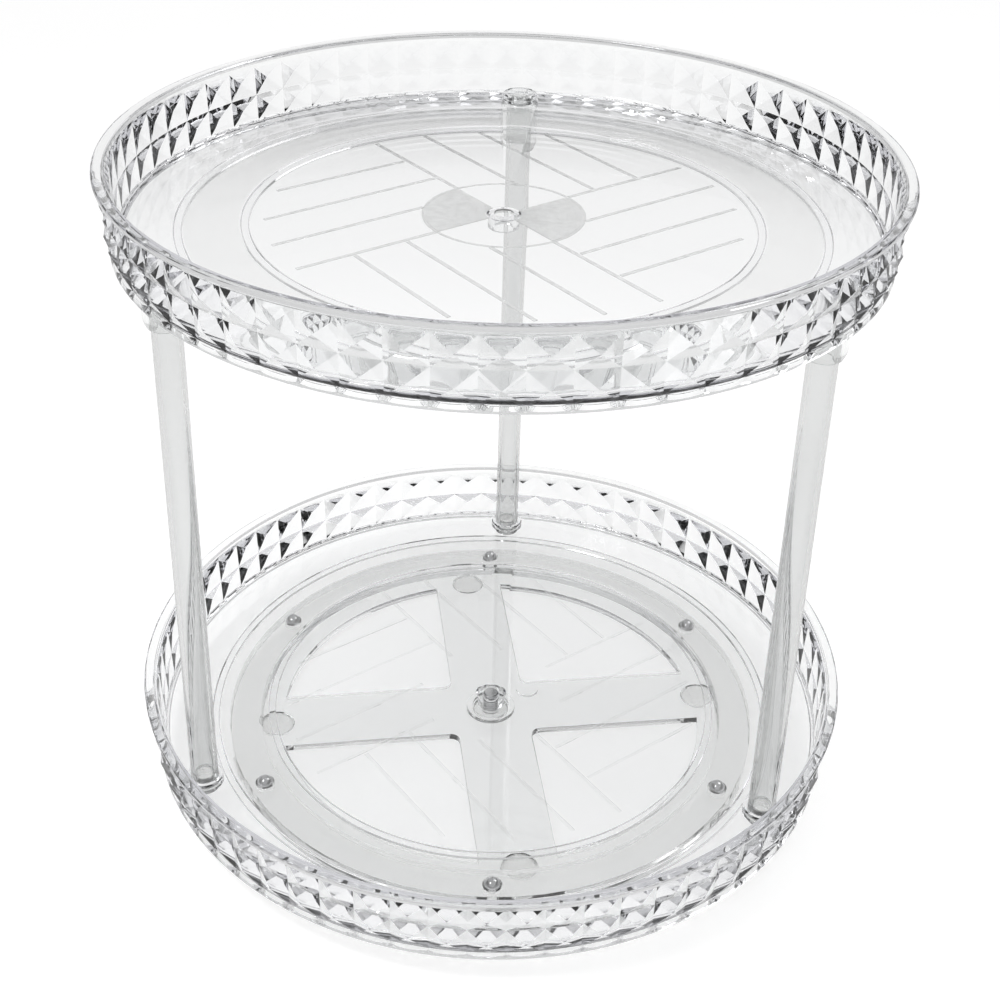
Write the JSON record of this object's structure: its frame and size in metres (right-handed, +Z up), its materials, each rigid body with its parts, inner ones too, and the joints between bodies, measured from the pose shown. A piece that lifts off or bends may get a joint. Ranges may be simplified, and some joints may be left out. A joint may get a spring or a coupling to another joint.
{
  "type": "lazy susan turntable",
  "caption": "Clear two-tier turntable: round trays with diamond-faceted walls on posts, spinning on steel balls over a cross-spoked base.",
  "frame": {"origin": "on the spin axis, at the surface the feet rest on", "axes": "+Z up along the spin axis; -Y is the front; +X is to the right seen from the front"},
  "size_m": [0.2298, 0.2298, 0.2094],
  "materials": {
    "clear_plastic": "clear, glossy, moulded",
    "frosted_plastic": "translucent, lightly frosted",
    "foot_silicone": "translucent silicone",
    "bearing_steel": "polished"
  },
  "bodies": {
    "base_body": {"base": "clear_plastic", "foot_1": "foot_silicone", "foot_2": "foot_silicone", "foot_3": "foot_silicone", "foot_4": "foot_silicone"},
    "ball_1_body": {"ball_1": "bearing_steel"},
    "ball_2_body": {"ball_2": "bearing_steel"},
    "ball_3_body": {"ball_3": "bearing_steel"},
    "ball_4_body": {"ball_4": "bearing_steel"},
    "ball_5_body": {"ball_5": "bearing_steel"},
    "ball_6_body": {"ball_6": "bearing_steel"},
    "turning_body": {"pivot_pin": "bearing_steel", "pin_retainer": "frosted_plastic", "lower_tray": "clear_plastic", "upper_tray": "clear_plastic", "post_1": "clear_plastic", "post_sleeve_1": "clear_plastic", "lower_plug_1": "frosted_plastic", "upper_plug_1": "clear_plastic", "post_2": "clear_plastic", "post_sleeve_2": "clear_plastic", "lower_plug_2": "frosted_plastic", "upper_plug_2": "clear_plastic", "post_3": "clear_plastic", "post_sleeve_3": "clear_plastic", "lower_plug_3": "frosted_plastic", "upper_plug_3": "clear_plastic"}
  },
  "joints": [
    {"name": "turntable_spin", "type": "hinge", "parent": "base_body", "child": "turning_body", "pos_m": [0, 0, 0.0095], "axis": [0, 0, 1], "continuous": true},
    {"name": "ball_1_roll", "type": "hinge", "parent": "base_body", "child": "ball_1_body", "pos_m": [0.07169, 0.04359, 0.00675], "axis": [0.8545, 0.5195, 0], "continuous": true},
    {"name": "ball_2_roll", "type": "hinge", "parent": "base_body", "child": "ball_2_body", "pos_m": [-0.0019, 0.08388, 0.00675], "axis": [-0.0227, 0.9997, 0], "continuous": true},
    {"name": "ball_3_roll", "type": "hinge", "parent": "base_body", "child": "ball_3_body", "pos_m": [-0.07359, 0.04029, 0.00675], "axis": [-0.8771, 0.4802, 0], "continuous": true},
    {"name": "ball_4_roll", "type": "hinge", "parent": "base_body", "child": "ball_4_body", "pos_m": [-0.07169, -0.04359, 0.00675], "axis": [-0.8545, -0.5195, 0], "continuous": true},
    {"name": "ball_5_roll", "type": "hinge", "parent": "base_body", "child": "ball_5_body", "pos_m": [0.0019, -0.08388, 0.00675], "axis": [0.0227, -0.9997, 0], "continuous": true},
    {"name": "ball_6_roll", "type": "hinge", "parent": "base_body", "child": "ball_6_body", "pos_m": [0.07359, -0.04029, 0.00675], "axis": [0.8771, -0.4802, 0], "continuous": true}
  ],
  "couplings": [
    {"joint": "ball_1_roll", "follows": "turntable_spin", "ratio": -30.509},
    {"joint": "ball_2_roll", "follows": "turntable_spin", "ratio": -30.509},
    {"joint": "ball_3_roll", "follows": "turntable_spin", "ratio": -30.509},
    {"joint": "ball_4_roll", "follows": "turntable_spin", "ratio": -30.509},
    {"joint": "ball_5_roll", "follows": "turntable_spin", "ratio": -30.509},
    {"joint": "ball_6_roll", "follows": "turntable_spin", "ratio": -30.509}
  ]
}
